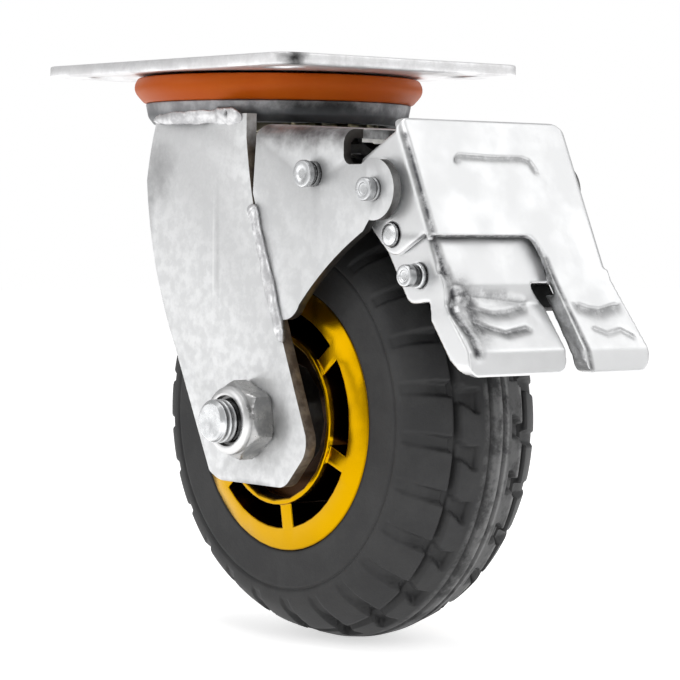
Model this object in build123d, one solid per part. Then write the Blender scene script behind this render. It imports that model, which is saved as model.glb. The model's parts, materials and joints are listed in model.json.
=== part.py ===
"""Total-lock swivel castor: 125 mm wheel in a pressed fork, plate mounted, with a two-piece foot brake.

Millimetres. The origin is the centre of the mounting plate's top face, on the swivel axis.
+Z is up, +X is the trailing direction (wheel, pedals), and the wheel's axle lies along Y.
Every solid is drawn with the brake off. The brake arm is drawn applied and then swung back.
"""
from build123d import *
from math import cos, radians, sin, sqrt
import os

# ---------------------------------------------------------------- driving dimensions
# top plate
PLATE_X, PLATE_Y, PLATE_T = 113.0, 88.0, 3.3
PLATE_CORNER_R = 6.0
BOLT_X, BOLT_Y = 84.0, 64.0            # spacing of the four slotted holes
SLOT_W, SLOT_L = 9.0, 13.0             # slots run along X

# swivel head
CROWN_R, CROWN_LIP_R = 37.6, 35.9       # outside of the pressed crown, and of its turned-in edge
CROWN_LIP_Z, CROWN_BOTTOM_Z = -15.2, -17.4
SEAL_R = 41.8
SEAL_BORE_R, SEAL_TOP_Z, SEAL_BOTTOM_Z = 36.4, -4.0, -11.3
PIN_R, PIN_HEAD_R, PIN_HEAD_T = 8.0, 10.2, 2.0
UPPER_BALL_D, UPPER_BALL_PITCH_R, UPPER_BALLS = 6.0, 31.0, 12
LOWER_BALL_D, LOWER_BALL_PITCH_R, LOWER_BALLS = 4.6, 17.0, 8
DISC_R, DISC_TOP_Z, DISC_T = 29.0, -16.5, 3.0
DISC_NOTCHES, NOTCH_W, NOTCH_ROOT_R = 20, 4.0, 24.2

# wheel
AXLE_X, AXLE_Z = 31.7, -99.0
WHEEL_R, TYRE_HALF_W = 62.5, 23.5
RIM_R, RIM_FACE_Y = 36.8, 23.3
BARREL_R, BARREL_FACE_Y = 30.3, 25.0
HUB_R, HUB_FACE_Y = 23.9, 26.2
SPOKES, SPOKE_W = 6, 4.8
FIRST_SPOKE_DEG = 39.0
LUGS, TREAD_PHASE = 25, 0.8
TYRE_BORE_R = RIM_R + 0.045             # to the corners of the bore's flats
BEARING_R, BEARING_W, BEARING_FACE_Y = 16.0, 10.0, 21.0
BEARING_FLATS = 12                      # round parts hidden in the hub are drawn with this many flats

# fork legs
LEG_Y, LEG_T = 33.9, 3.5                # outer face of a leg, sheet thickness
AXLE_R = 6.0
NUT_AF, NUT_H = 19.0, 8.8
BOLT_TIP_Y = 48.5

# brake bracket, welded to the front edges of the legs
BRACKET_T = 2.5
ARM_PIVOT = (57.4, -32.1)
PEDAL_PIVOT = (81.5, -36.2)
EAR_R = 8.1
PIVOT_R = 3.0

# pedals
LOCK_HALF_W, LOCK_T = 30.0, 2.0
RELEASE_HALF_W = 27.7
RELEASE_PIVOT = (84.4, -47.9)
PUSH_PIN, PUSH_PIN_R = (92.8, -58.4), 2.8
FACE_TILT = 23.9                        # pedal face, degrees from vertical
ARM_STROKE = 4.0                        # swing of the brake arm, brake off to on, degrees

SPIN_FIT = 0.05                         # radial clearance of a pivot

# round bodies are drawn with flats too short to see, so that the castor's mesh stays light
RING_FLATS, HIDDEN_FLATS, PIN_FLATS = 48, 20, 12
AXLE = Pos(AXLE_X, 0, AXLE_Z)


# ---------------------------------------------------------------- drawing helpers
def rounded(points):
    """Closed outline of (u, v, corner radius) points as a flat face."""
    face = Polygon(*[(u, v) for u, v, r in points], align=None)
    for u, v, r in points:
        if r:
            face = fillet(face.vertices().sort_by_distance((u, v, 0))[:1], r)
    return face


def plate(face, y0, y1):
    """A flat face drawn in X and Z, as a sheet from y0 to y1."""
    low, high = min(y0, y1), max(y0, y1)
    return Pos(0, high, 0) * extrude(Plane.XZ * face, high - low, dir=(0, -1, 0))


def rod(x, z, radius, y0, y1):
    """A cylinder along Y."""
    return Pos(x, (y0 + y1) / 2, z) * Rot(90, 0, 0) * Cylinder(radius, abs(y1 - y0))


def flat_sided(levels, flats=RING_FLATS):
    """Round body about the swivel axis through (radius, z) levels, with its corners on the radius."""
    turns = [radians(i * 360 / flats) for i in range(flats)]
    rings = [[(r * cos(turn), r * sin(turn), z) for turn in turns] for r, z in levels]
    outlines = [rings[0], rings[-1]]
    for low, high in zip(rings, rings[1:]):
        outlines += [(low[i - 1], low[i], high[i], high[i - 1]) for i in range(flats)]
    return Solid(Shell([Face(Wire.make_polygon(outline)) for outline in outlines]))


def bar(x, z, radius, y0, y1, flats=PIN_FLATS):
    """Bar along Y, drawn with flats, its corners on the radius."""
    return plate(Pos(x, z) * RegularPolygon(radius, flats), y0, y1)


def bore(x, z, radius, y0, y1, flats=PIN_FLATS):
    """Hole along Y, drawn with flats, the middles of its flats on the radius."""
    return plate(Pos(x, z) * RegularPolygon(radius, flats, major_radius=False), y0, y1)


def ring_of(shape, count, radius, z, first=0.0):
    """Copies of a small solid on a circle about the swivel axis."""
    step = 360 / count
    return [Rot(0, 0, first + i * step) * Pos(radius, 0, z) * shape for i in range(count)]


def mirrored(shape):
    return mirror(shape, Plane.XZ)


def face_x(offset, z):
    """X of the plane that stands offset from the origin along the pedal face's normal."""
    tilt = radians(FACE_TILT)
    return (offset - sin(tilt) * z) / cos(tilt)


def largest(shape):
    return shape.solids().sort_by(SortBy.VOLUME)[-1]


# ---------------------------------------------------------------- swivel head
def top_plate():
    sheet = Pos(0, 0, -PLATE_T) * extrude(RectangleRounded(PLATE_X, PLATE_Y, PLATE_CORNER_R), PLATE_T)
    slot = extrude(SlotOverall(SLOT_L, SLOT_W), PLATE_T)
    for x in (-BOLT_X / 2, BOLT_X / 2):
        for y in (-BOLT_Y / 2, BOLT_Y / 2):
            sheet -= Pos(x, y, -PLATE_T) * slot
    return sheet - pin_head() - pin_bore(-PLATE_T, 0)


def pin_head():
    return flat_sided([(PIN_HEAD_R, -PIN_HEAD_T), (PIN_HEAD_R, 0)], HIDDEN_FLATS)


def kingpin():
    """Pin riveted over, flush with the plate, and held by a nut under the crown."""
    end_z = -30.0
    return pin_head() + Pos(0, 0, (end_z - PIN_HEAD_T) / 2) * Cylinder(PIN_R, -PIN_HEAD_T - end_z)


def pin_bore(z0, z1, flats=HIDDEN_FLATS):
    """Hole for the king pin's shank, the middles of its flats on the shank."""
    return Pos(0, 0, z0) * extrude(RegularPolygon(PIN_R, flats, major_radius=False), z1 - z0)


def fork_crown():
    """Pressed cup: flat web between the two ball races, skirt turned in at its bottom edge."""
    top_z, web_z, wall_r, bore_r = -9.4, -11.8, 33.4, 9.6
    skirt = flat_sided([(CROWN_LIP_R, CROWN_BOTTOM_Z), (CROWN_R, CROWN_LIP_Z), (38.4, SEAL_BOTTOM_Z)])
    neck = flat_sided([(SEAL_BORE_R, SEAL_BOTTOM_Z), (SEAL_BORE_R, top_z)], HIDDEN_FLATS)
    cup = skirt + neck - flat_sided([(wall_r, CROWN_BOTTOM_Z), (wall_r, web_z)], HIDDEN_FLATS)
    return cup - flat_sided([(bore_r, web_z), (bore_r, top_z)], HIDDEN_FLATS)


def dust_seal():
    ring = flat_sided([(38.9, SEAL_BOTTOM_Z), (SEAL_R, -7.2), (40.4, SEAL_TOP_Z)])
    return ring - flat_sided([(SEAL_BORE_R, SEAL_BOTTOM_Z), (SEAL_BORE_R, SEAL_TOP_Z)], HIDDEN_FLATS)


def ball(diameter):
    """A bearing ball, drawn with six flats, one corner up."""
    return extrude(Plane.XZ * RegularPolygon(diameter / 2, 6, rotation=30), diameter * 0.38, both=True)


def lock_disc():
    disc = flat_sided([(DISC_R, DISC_TOP_Z - DISC_T), (DISC_R, DISC_TOP_Z)], 2 * DISC_NOTCHES)
    notch = Pos(0, 0, -DISC_T / 2) * Box(12, NOTCH_W, DISC_T)
    disc -= ring_of(notch, DISC_NOTCHES, NOTCH_ROOT_R + 6, DISC_TOP_Z)
    return disc - pin_bore(DISC_TOP_Z - DISC_T, DISC_TOP_Z)


def kingpin_nut():
    top_z, height = DISC_TOP_Z - DISC_T, 8.0
    nut = Pos(0, 0, top_z - height) * extrude(RegularPolygon(12.0, 6, major_radius=False), height)
    return nut - pin_bore(top_z - height, top_z, BEARING_FLATS)


# ---------------------------------------------------------------- fork
def leg_face():
    """One leg seen from the side: narrow waist under the crown, swept back to the axle."""
    rear_top, rear_mid, rear_low, toe_rear = (-13.8, -18.0), (-17.8, -33.5), (-3.4, -81.5), (12.6, -114.6)
    front_top, front_mid, front_low = (28.3, -15.3), (33.4, -47.6), (54.8, -102.0)
    rear = [
        Line((rear_top[0], front_top[1]), rear_top),
        ThreePointArc(rear_top, (-16.0, -25.0), rear_mid),
        ThreePointArc(rear_mid, (-13.2, -58.5), rear_low),
        Line(rear_low, toe_rear),
    ]
    toe = Polyline(toe_rear, (17.0, -116.8), (46.0, -116.8), (55.3, -106.6), front_low)
    front = [
        ThreePointArc(front_low, (43.3, -73.5), front_mid),
        ThreePointArc(front_mid, (29.6, -31.0), (28.3, -22.0)),
        Line((28.3, -22.0), front_top),
        Line(front_top, (rear_top[0], front_top[1])),
    ]
    face = make_face(rear + [toe] + front)
    return fillet(face.vertices().sort_by_distance((*toe_rear, 0))[:1], 2.0)


def fork_leg():
    """Left leg, on the -Y side: its top is cut to the crown it is welded under."""
    leg = plate(leg_face(), -LEG_Y, -LEG_Y + LEG_T)
    skirt = flat_sided([(CROWN_LIP_R, CROWN_BOTTOM_Z), (CROWN_R, CROWN_LIP_Z), (CROWN_R, 0)])
    return largest(leg - skirt - bore(AXLE_X, AXLE_Z, AXLE_R, -40, -20))


def crown_weld():
    """Fillet weld between the crown's turned-in edge and the outside of the left leg."""
    first, pitch, count = 157.5, 360 / RING_FLATS, 6
    bead = [(CROWN_LIP_Z, CROWN_R), (-16.6, 38.9), (-18.8, 36.5), (-19.3, 33.0), (CROWN_BOTTOM_Z, 33.0),
            (CROWN_BOTTOM_Z, CROWN_LIP_R)]
    flats = [ring_piece(bead, first + i * pitch, first + (i + 1) * pitch) for i in range(count)]
    run = Rot(0, -90, 0) * flats[0].fuse(*flats[1:])
    return largest(run - plate(Rectangle(80, 40), -LEG_Y, -20))


def bracket_side():
    """Side of the brake bracket: web line on top, ear round the pedal pivot, tip down the leg."""
    ax, az = PEDAL_PIVOT
    face = make_face([
        Line((34.5, -18.3), (86.6, -21.2)),
        Line((86.6, -21.2), (89.4, -34.0)),
        ThreePointArc((89.4, -34.0), (ax + EAR_R * 0.83, az - EAR_R * 0.56), (84.8, -43.6)),
        ThreePointArc((84.8, -43.6), (66.3, -54.2), (51.6, -67.0)),
        ThreePointArc((51.6, -67.0), (48.4, -70.4), (43.6, -71.2)),
        Line((43.6, -71.2), (36.0, -50.0)),
        Line((36.0, -50.0), (31.3, -37.0)),
        Line((31.3, -37.0), (32.6, -22.4)),
        ThreePointArc((32.6, -22.4), (33.2, -19.6), (34.5, -18.3)),
    ])
    return face


def brake_bracket():
    """U-shaped sheet: web across the top, a cheek flush with each leg, slots for the pedal's cheeks."""
    ax, az = PEDAL_PIVOT
    outer = plate(bracket_side(), -LEG_Y, LEG_Y)
    top = outer.faces().sort_by(Axis.Z)[-1]
    outer = fillet([e for e in top.edges() if abs(e.center().Y) > LEG_Y - 1], 4.2)
    drop = BRACKET_T
    core = plate(Polygon((20, -18.3 - drop + 0.8), (100, -21.2 - drop - 0.75), (100, -90), (20, -90),
                         align=None), -LEG_Y + BRACKET_T, LEG_Y - BRACKET_T)
    core_top = core.faces().sort_by(Axis.Z)[-1]
    core = chamfer([e for e in core_top.edges() if abs(e.center().Y) > 25], 1.2)
    channel = outer - core
    # beyond the slot's rear end only the tongue stands above the ears
    tongue_half, slot_rear, slot_floor, slot_r = 27.2, 69.6, -29.7, 2.6
    for side in (-1, 1):
        slot = Pos(slot_rear + 15, side * (tongue_half + 10), slot_floor + 10) * Box(30, 20, 20)
        corner = slot.edges().filter_by(Axis.Y).sort_by_distance((slot_rear, 0, slot_floor))[:1]
        slot = fillet(corner, slot_r)
        ear = bar(ax, az, EAR_R, side * 20, side * 40, HIDDEN_FLATS)
        channel -= slot - ear
    # the cheeks' ears are round above the slot's floor
    trim = Pos(90, 0, -30) * Box(20, 80, 40) - bar(ax, az, EAR_R, -50, 50, HIDDEN_FLATS)
    tongue = plate(Polygon((70, -10), (86.0, -10), (86.0, -26.0), (70, -26.0), align=None),
                   -tongue_half, tongue_half)
    channel -= trim - tongue
    for x, z in (ARM_PIVOT, PEDAL_PIVOT):
        channel -= bore(x, z, PIVOT_R, -50, 50)
    legs = plate(leg_face(), -LEG_Y, -LEG_Y + LEG_T)
    return largest(channel - legs - mirrored(legs))


def bracket_weld():
    """Bead along the joint between the left leg's front edge and the bracket's cheek."""
    seam = [(31.4, -39.0), (36.2, -54.0), (43.4, -72.0)]
    right = [(x + 2.0, z) for x, z in seam]
    left = [(x - 1.2, z) for x, z in seam]
    foot = plate(Polygon(*right, *reversed(left), align=None), -LEG_Y - 0.9, -LEG_Y)
    ridge = [e for e in foot.faces().sort_by(Axis.Y)[0].edges() if e.length > 6]
    return chamfer(ridge, 0.8)


# ---------------------------------------------------------------- axle
def hexagon(flats, y0, y1):
    """Hexagon bar along the axle."""
    return Pos(AXLE_X, max(y0, y1), AXLE_Z) * extrude(
        Plane.XZ * RegularPolygon(flats / 2, 6, major_radius=False, rotation=30), abs(y1 - y0))


def axle_bolt():
    head_h = 7.5
    return rod(AXLE_X, AXLE_Z, AXLE_R, -BOLT_TIP_Y, LEG_Y) + hexagon(NUT_AF, LEG_Y, LEG_Y + head_h)


def axle_nut():
    return hexagon(NUT_AF, -LEG_Y, -LEG_Y - NUT_H) - bore(AXLE_X, AXLE_Z, AXLE_R, -60, -30, BEARING_FLATS)


def sleeve(bore_r, outer_r, y0, y1):
    """Tube on the axle, hidden in the hub: drawn with twelve flats."""
    tube = RegularPolygon(outer_r, BEARING_FLATS) - RegularPolygon(bore_r, BEARING_FLATS, major_radius=False)
    return Pos(AXLE_X, y1, AXLE_Z) * extrude(Plane.XZ * tube, y1 - y0)


# ---------------------------------------------------------------- wheel
def wheel_rim():
    """Hub, six deep spokes and barrel in one casting."""
    dish_r, dish_y, sector = HUB_R - 1.4, BEARING_FACE_Y + 0.6, 360 / SPOKES
    barrel = flat_sided([(BARREL_R, -BARREL_FACE_Y), (RIM_R, -RIM_FACE_Y), (RIM_R, RIM_FACE_Y),
                         (BARREL_R, BARREL_FACE_Y)])
    hub = flat_sided([(HUB_R, -HUB_FACE_Y), (HUB_R, HUB_FACE_Y)])
    dish = flat_sided([(dish_r, dish_y), (dish_r, HUB_FACE_Y)], HIDDEN_FLATS)
    seat = flat_sided([(BEARING_R, -dish_y), (BEARING_R, dish_y)], BEARING_FLATS)
    reach = [-BARREL_FACE_Y, BARREL_FACE_Y]
    windows = flat_sided([(BARREL_R, y) for y in reach]) - flat_sided([(HUB_R, y) for y in reach])
    windows -= [Rot(0, 0, FIRST_SPOKE_DEG + i * sector) * Pos(27, 0, 0) * Box(14, SPOKE_W, 60)
                for i in range(SPOKES)]
    casting = barrel + hub - windows - dish - mirror(dish, Plane.XY) - seat
    return AXLE * Rot(90, 0, 0) * casting


def ring_piece(outline, start, end):
    """Straight piece of a ring about X, from one angle to the next, with (x, radius) corners on the ring."""
    reach, middle, half = WHEEL_R * 1.2, (start + end) / 2, radians(end - start) / 2
    section = Polygon(*[(x, r * cos(half)) for x, r in outline], align=None)
    side = reach * sin(half)
    sector = Plane.YZ * Polygon((0, 0), (reach * cos(half), -side), (reach * cos(half), side), align=None)
    return Rot(middle, 0, 0) * (extrude(section, WHEEL_R * 0.1, both=True)
                                & extrude(sector, TYRE_HALF_W + 1, both=True))


def tread_outline(right, left):
    """Section of the tyre. Each side is whole, or cut down where a gap in one row of blocks lies."""
    rows = {
        "whole": [(11.0, 59.8), (11.0, 57.4), (12.97, 59.2), (18.4, 56.3)],
        "lug_gap": [(11.0, 59.8), (11.0, 57.4), (12.97, 56.9), (18.4, 54.4)],
        "block_gap": [(5.8, 61.3), (5.8, 59.4), (11.0, 57.4), (12.97, 59.2), (18.4, 56.3)],
    }
    ribs = [(1.7, WHEEL_R), (1.7, 60.4), (3.0, 62.1)]
    wall = [(TYRE_HALF_W, 51.2), (TYRE_HALF_W, TYRE_BORE_R)]
    sides = [ribs + rows[name] + wall for name in (right, left)]
    return sides[0] + [(-x, r) for x, r in reversed(sides[1])]


def tyre():
    """Solid rubber tyre: centre ribs, a row of small blocks and shoulder lugs, with four flats a lug."""
    pitch, gap = 360 / LUGS, 3.0
    starts = [0, pitch - 3 * gap, pitch - 2 * gap, pitch - gap, pitch]
    kinds = [("whole", "whole"), ("block_gap", "whole"), ("lug_gap", "lug_gap"), ("whole", "block_gap")]
    repeat = [ring_piece(tread_outline(*kind), *span) for kind, span in zip(kinds, zip(starts, starts[1:]))]
    pieces = [Rot(TREAD_PHASE + i * pitch, 0, 0) * piece for i in range(LUGS) for piece in repeat]
    return pieces[0].fuse(*pieces[1:]).clean()


# ---------------------------------------------------------------- pedals
def strip(points, depth):
    """Outline of a bent sheet: its outer line, and the same line set back by depth."""
    steps = [(b[0] - a[0], b[1] - a[1]) for a, b in zip(points, points[1:])]
    inward = [(dz / sqrt(dx * dx + dz * dz), -dx / sqrt(dx * dx + dz * dz)) for dx, dz in steps]
    before, after = inward[:1] + inward, inward + inward[-1:]
    back = []
    for (x, z), (ax, az), (bx, bz) in zip(points, before, after):
        reach = depth / (1 + ax * bx + az * bz)
        back.append((x + (ax + bx) * reach, z + (az + bz) * reach))
    return Polygon(*points, *reversed(back), align=None)


def channel_prism(offset, half_w, corner_r):
    """Long tilted bar behind the pedal face: flat front at offset, sides at half_w, rounded folds."""
    depth, length = 60.0, 160.0
    tilt = radians(FACE_TILT)
    normal, down = (cos(tilt), 0, sin(tilt)), (sin(tilt), 0, -cos(tilt))
    middle = offset - depth / 2
    base = Plane(origin=(normal[0] * middle, 0, normal[2] * middle), x_dir=normal, z_dir=down)
    flat = RectangleRounded(depth, 2 * half_w, corner_r) if corner_r else Rectangle(depth, 2 * half_w)
    return extrude(base * flat, length)


def front_view(points):
    """Outline of (y, z, corner radius) points as a bar along X."""
    return Pos(60, 0, 0) * extrude(Plane.YZ * rounded(points), 80, dir=(1, 0, 0))


LOCK_FACE, RELEASE_FACE = 72.2, 69.2    # stand-off of the two faces from the origin, along their normal
LOCK_TOP_Z, LOCK_WINDOW_Z, LOCK_TOE_Z = -17.7, -48.0, -83.8
FLARE_Z, TOE_TOP_Z = -59.6, -77.2


def lock_pedal():
    """Channel with two cheeks on the bracket's pivot, a window for the release pedal and a flared toe."""
    ax, az = PEDAL_PIVOT
    bx, bz = RELEASE_PIVOT
    fold = 2.4
    channel = channel_prism(LOCK_FACE, LOCK_HALF_W, fold)
    channel -= channel_prism(LOCK_FACE - LOCK_T, LOCK_HALF_W - LOCK_T, 0)
    back = LOCK_FACE - LOCK_T - 0.4
    side = rounded([
        (face_x(LOCK_FACE + 1, LOCK_TOP_Z), LOCK_TOP_Z, 0),
        (face_x(LOCK_FACE + 1, FLARE_Z), FLARE_Z, 0),
        (face_x(back, FLARE_Z), FLARE_Z, 0),
        (face_x(back, -47.4), -47.4, 0),
        (bx + 0.5, bz - 6.4, 5.0),
        (bx - 7.6, bz + 1.0, 3.0),
        (ax - 10.2, az + 2.0, 9.0),
        (ax - 9.2, az + 7.9, 0),
        (face_x(back, -21.0), -21.0, 0),
        (face_x(back, LOCK_TOP_Z), LOCK_TOP_Z, 0),
    ])
    sheet = channel & plate(side, -40, 40)
    # stiffening flange down the free right edge
    flange = strip([(face_x(LOCK_FACE, -46), -46), (face_x(LOCK_FACE, FLARE_Z), FLARE_Z)], 5.0)
    sheet += channel & plate(flange, LOCK_HALF_W - 6, LOCK_HALF_W + 1)
    # toe: flared sheet with turned-back edges and a short upright lip
    start_z = FLARE_Z + 3
    line = [(face_x(LOCK_FACE, start_z), start_z), (face_x(LOCK_FACE, FLARE_Z), FLARE_Z),
            (115.2, TOE_TOP_Z), (116.6, LOCK_TOE_Z)]
    toe = plate(strip(line, 5.0), 5, 36)
    hollow = toe - plate(strip(line, LOCK_T), 5, 36)
    inset = front_view([(0, -40, 0), (28, -40, 0), (28.0, FLARE_Z, 0), (32.5, -78.5, 0), (32.5, -90, 0),
                        (12.6, -90, 0), (12.4, -79, 0), (10.6, -63.5, 0), (0, -63.5, 0)])
    sheet += toe - (hollow & inset)
    outline = front_view([
        (-LOCK_HALF_W - 1, LOCK_TOP_Z, 5.5), (LOCK_HALF_W, LOCK_TOP_Z, 5.0), (LOCK_HALF_W, FLARE_Z, 12.0),
        (34.6, -78.5, 3.0), (34.2, LOCK_TOE_Z, 2.5), (10.6, LOCK_TOE_Z, 1.5), (8.6, -64.0, 1.0),
        (7.8, -54.0, 4.0), (5.8, LOCK_WINDOW_Z, 4.0), (-LOCK_HALF_W - 1, LOCK_WINDOW_Z, 0)])
    cheeks = plate(Polygon((60, -10), (88, -10), (99.0, -47.0), (96, -60), (60, -60), align=None), -40, 40)
    sheet = sheet & (outline + cheeks)
    sheet -= [bore(ax, az, PIVOT_R + SPIN_FIT, -40, 40), bore(bx, bz, PIVOT_R, -40, 40)]
    return largest(sheet)


def release_pedal():
    """Smaller channel nested in the lock pedal, its toe showing through the window."""
    bx, bz = RELEASE_PIVOT
    cx, cz = PUSH_PIN
    fold = 2.3
    channel = channel_prism(RELEASE_FACE, RELEASE_HALF_W, fold)
    channel -= channel_prism(RELEASE_FACE - LOCK_T, RELEASE_HALF_W - LOCK_T, 0)
    back, top_z, web_z, dip_z = RELEASE_FACE - LOCK_T - 0.4, -46.6, -54.5, -60.4
    side = rounded([
        (face_x(RELEASE_FACE + 1, top_z), top_z, 0),
        (face_x(RELEASE_FACE + 1, dip_z), dip_z, 0),
        (face_x(back, dip_z), dip_z, 0),
        (cx + 3.6, cz - 6.8, 1.0),
        (cx - 4.0, cz - 7.6, 3.5),
        (bx - 4.6, bz - 4.0, 3.0),
        (bx - 5.6, bz + 3.6, 4.5),
        (bx + 3.0, bz + 6.2, 4.0),
        (face_x(back, top_z), top_z, 0),
    ])
    sheet = channel & plate(side, -40, 40)
    start_z = dip_z + 3
    line = [(face_x(RELEASE_FACE, start_z), start_z), (face_x(RELEASE_FACE, dip_z), dip_z), (103.0, -65.6),
            (111.8, TOE_TOP_Z), (112.8, LOCK_TOE_Z)]
    toe = plate(strip(line, LOCK_T), -RELEASE_HALF_W, 7.0)
    heel = [(96.8, -64.6), (97.2, -69.9), (104.5, -79.8), (109.4, -83.4), (112.6, LOCK_TOE_Z + 0.2)]
    toe += plate(Polygon(*line[1:4], (112.6, -82.0), *reversed(heel), (face_x(back, dip_z), dip_z), align=None),
                 -RELEASE_HALF_W, -RELEASE_HALF_W + LOCK_T)
    outline = front_view([
        (-RELEASE_HALF_W, -30, 0), (RELEASE_HALF_W, -30, 0), (RELEASE_HALF_W, web_z, 2.0),
        (9.4, web_z, 2.0), (9.4, dip_z, 0), (2.9, dip_z, 0), (3.4, -62.0, 0), (6.9, -66.6, 1.5),
        (7.0, LOCK_TOE_Z, 3.5), (-RELEASE_HALF_W, LOCK_TOE_Z, 2.5)])
    cheeks = plate(Polygon((60, -30), (94.5, -46.5), (101, -62.0), (101, -70), (60, -70), align=None), -40, 40)
    sheet = (sheet & (outline + cheeks)) + (toe & outline)
    sheet -= [bore(bx, bz, PIVOT_R + SPIN_FIT, -40, 40), bore(cx, cz, PUSH_PIN_R, -40, 40)]
    return largest(sheet)


def rivet(spot, radius, cheek_y, stand, neck):
    """Pin across the channel: button head on the left, standing off on a short neck if it has one."""
    x, z = spot
    head_y = -cheek_y - (stand - 1.8 if neck else 0)
    return bar(x, z, radius * 1.22, -cheek_y - stand, head_y) + rod(x, z, radius, head_y, cheek_y + stand * 0.5)


# ---------------------------------------------------------------- brake arm
def brake_swing(shape):
    """Swing the arm's parts from brake on, as drawn, to brake off."""
    x, z = ARM_PIVOT
    return Pos(x, 0, z) * Rot(0, -ARM_STROKE, 0) * Pos(-x, 0, -z) * shape


def arc_band(inner_r, outer_r, start, end):
    """Band about the axle, between two angles measured forward from straight up."""
    def spot(r, angle):
        return (AXLE_X + r * sin(radians(angle)), AXLE_Z + r * cos(radians(angle)))
    middle = (start + end) / 2
    return make_face([
        ThreePointArc(spot(inner_r, start), spot(inner_r, middle), spot(inner_r, end)),
        Line(spot(inner_r, end), spot(outer_r, end)),
        ThreePointArc(spot(outer_r, end), spot(outer_r, middle), spot(outer_r, start)),
        Line(spot(outer_r, start), spot(inner_r, start))])


SHOE_R, SHOE_T, WING_T = WHEEL_R + 0.4, 1.8, 2.2


def brake_arm():
    """Lever above the tyre: curved wing in front of its pivot, toothed tongue behind it."""
    px, pz = ARM_PIVOT
    wing = plate(arc_band(SHOE_R + SHOE_T, SHOE_R + SHOE_T + WING_T, 18, 64), -18, 18)
    barrel = bar(px, pz, 5.5, -20, 20, HIDDEN_FLATS)
    tongue = plate(Polygon((24.6, -20.4), (31.0, -20.4), (33.2, -21.9), (50.0, -22.8), (58.5, -27.2),
                           (56.0, -31.0), (52.5, -30.2), (48.8, -25.4), (32.4, -24.4), (30.4, -22.9),
                           (24.6, -22.9), align=None), -10, 10)
    tooth = Box(3.2, 2.4, 3.0)
    teeth = [Rot(0, 0, i * 360 / DISC_NOTCHES) * Pos(26.8, 0, -19.5) * tooth for i in (-1, 0, 1)]
    arm = wing + barrel + tongue + teeth
    return brake_swing(arm - bore(px, pz, PIVOT_R + SPIN_FIT, -30, 30))


def brake_shoe():
    return brake_swing(plate(arc_band(SHOE_R, SHOE_R + SHOE_T, 40, 64), -17, 17))


def return_spring():
    """Torsion spring beside the arm's barrel: its closed coils as one sleeve, and the leg on the arm."""
    px, pz = ARM_PIVOT
    wire, inner_r, coils = 1.6, 3.6, 5
    y = -29.8
    flats = 12
    tube = RegularPolygon(inner_r + wire, flats) - RegularPolygon(inner_r, flats)
    coil = Pos(px, y + wire * coils, pz) * extrude(Plane.XZ * tube, wire * coils)
    leg = Pos(px - 6.5, y + wire / 2, pz + inner_r + wire / 2) * Box(13, wire, wire)
    return coil + leg


# ---------------------------------------------------------------- all parts
def build():
    leg, weld, seam = fork_leg(), crown_weld(), bracket_weld()
    bearing_y = [(-BEARING_FACE_Y, -BEARING_FACE_Y + BEARING_W), (BEARING_FACE_Y - BEARING_W, BEARING_FACE_Y)]
    inner_ring = [sleeve(AXLE_R, 9.0, *span) for span in bearing_y]
    outer_ring = [sleeve(9.4, BEARING_R, *span) for span in bearing_y]
    upper_z = -PLATE_T - 0.05 - UPPER_BALL_D / 2
    lower_z = DISC_TOP_Z + 0.05 + LOWER_BALL_D / 2
    return {
        "top_plate": top_plate(),
        "kingpin": kingpin(),
        "lock_disc": lock_disc(),
        "kingpin_nut": kingpin_nut(),
        "fork_crown": fork_crown(),
        "dust_seal": dust_seal(),
        "upper_balls": Compound(children=ring_of(ball(UPPER_BALL_D), UPPER_BALLS, UPPER_BALL_PITCH_R, upper_z)),
        "lower_balls": Compound(children=ring_of(ball(LOWER_BALL_D), LOWER_BALLS, LOWER_BALL_PITCH_R, lower_z)),
        "fork_leg_left": leg,
        "fork_leg_right": mirrored(leg),
        "crown_weld_left": weld,
        "crown_weld_right": mirrored(weld),
        "brake_bracket": brake_bracket(),
        "bracket_weld_left": seam,
        "bracket_weld_right": mirrored(seam),
        "axle_bolt": axle_bolt(),
        "axle_nut": axle_nut(),
        "spacer_left": sleeve(AXLE_R, 9.0, -LEG_Y + LEG_T, -BEARING_FACE_Y),
        "spacer_right": sleeve(AXLE_R, 9.0, BEARING_FACE_Y, LEG_Y - LEG_T),
        "hub_sleeve": sleeve(AXLE_R, 8.5, -BEARING_FACE_Y + BEARING_W, BEARING_FACE_Y - BEARING_W),
        "bearing_inner_left": inner_ring[0],
        "bearing_inner_right": inner_ring[1],
        "bearing_outer_left": outer_ring[0],
        "bearing_outer_right": outer_ring[1],
        "wheel_rim": wheel_rim(),
        "tyre": AXLE * Rot(0, 0, 90) * tyre(),
        "arm_pivot_pin": rivet(ARM_PIVOT, PIVOT_R, LEG_Y, 4.3, True),
        "pedal_pivot_pin": rivet(PEDAL_PIVOT, PIVOT_R, LEG_Y, 3.6, False),
        "lock_pedal": lock_pedal(),
        "release_pivot_pin": rivet(RELEASE_PIVOT, PIVOT_R, LOCK_HALF_W, 1.2, False),
        "release_pedal": release_pedal(),
        "push_pin": rivet(PUSH_PIN, PUSH_PIN_R, RELEASE_HALF_W, 5.4, True),
        "brake_arm": brake_arm(),
        "brake_shoe": brake_shoe(),
        "return_spring": return_spring(),
    }


def write():
    os.makedirs("parts", exist_ok=True)
    for name, shape in build().items():
        export_step(shape, f"parts/{name}.step")


write()
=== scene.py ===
import json

import bmesh
import bpy
import numpy as np
from mathutils import Matrix, Vector


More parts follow.
